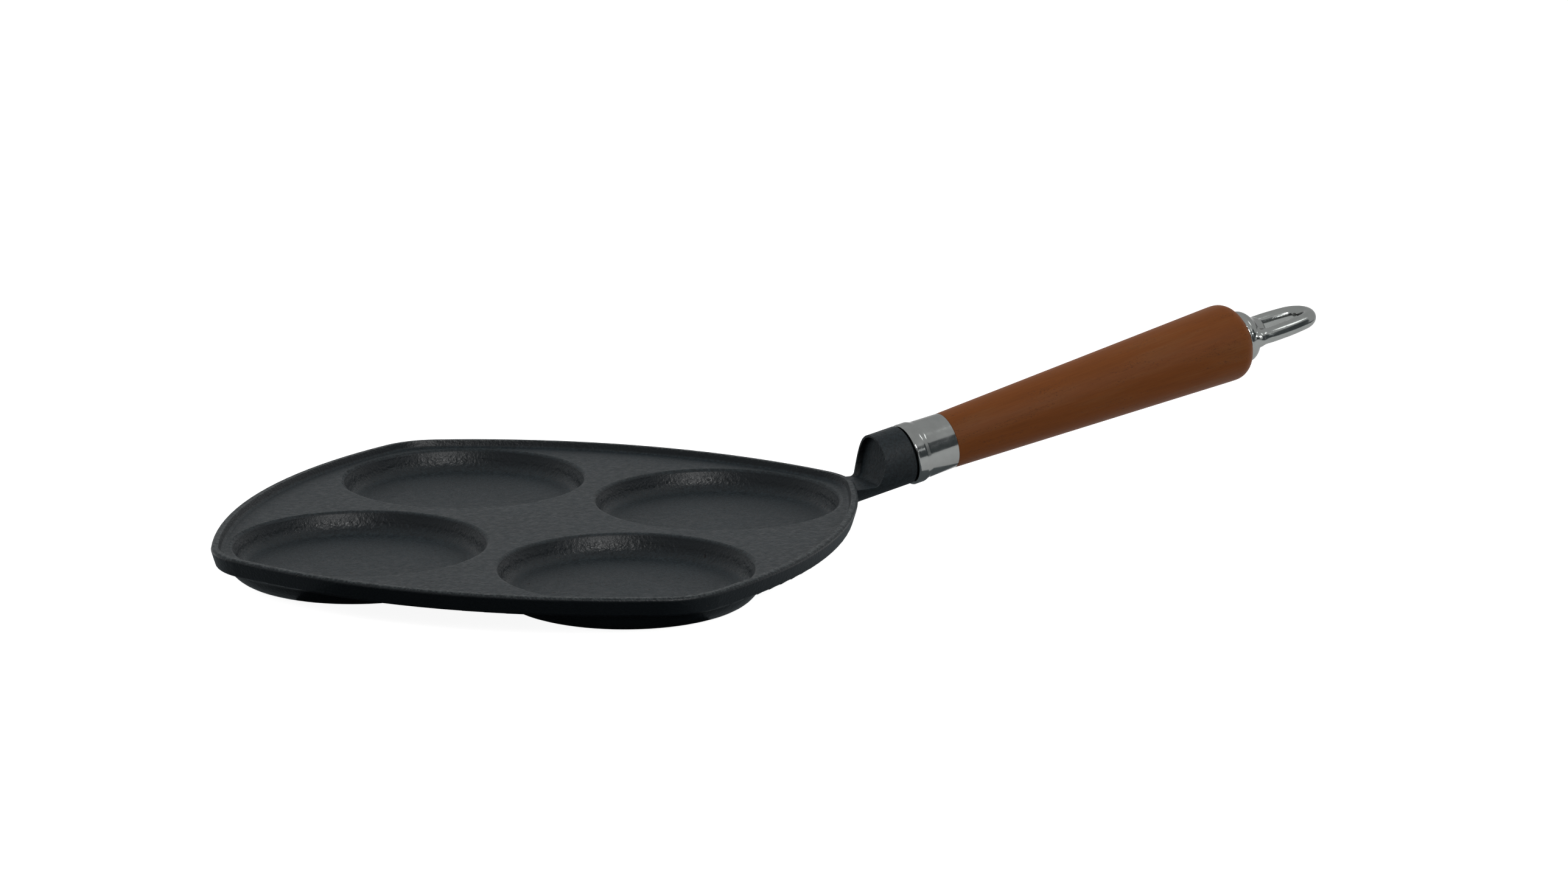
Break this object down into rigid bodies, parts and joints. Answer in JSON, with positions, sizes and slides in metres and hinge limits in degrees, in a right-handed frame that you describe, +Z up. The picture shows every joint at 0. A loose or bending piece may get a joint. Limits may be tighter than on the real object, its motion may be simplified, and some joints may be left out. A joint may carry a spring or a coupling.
{
  "type": "egg pan",
  "caption": "Cast iron pan with shallow round wells in a raised-rim square plate, a turned wooden handle in a steel ferrule, and a hanging eye.",
  "frame": {"origin": "on the table plane that the four feet share, under the middle of the plate", "axes": "+X from the middle of the plate towards the handle, +Z up, +Y completes the right-handed frame"},
  "size_m": [0.4739, 0.2594, 0.0664],
  "materials": {
    "cast_iron": "matte, fine-grained, seasoned casting",
    "ferrule_steel": "polished",
    "grip_wood": "oiled satin, reddish brown",
    "rod_steel": "zinc plated, threaded",
    "eye_chrome": "mirror polished"
  },
  "bodies": {
    "root": {"pan_casting": "cast_iron", "ferrule": "ferrule_steel", "grip": "grip_wood", "tie_rod": "rod_steel", "hanging_eye": "eye_chrome"}
  },
  "joints": []
}
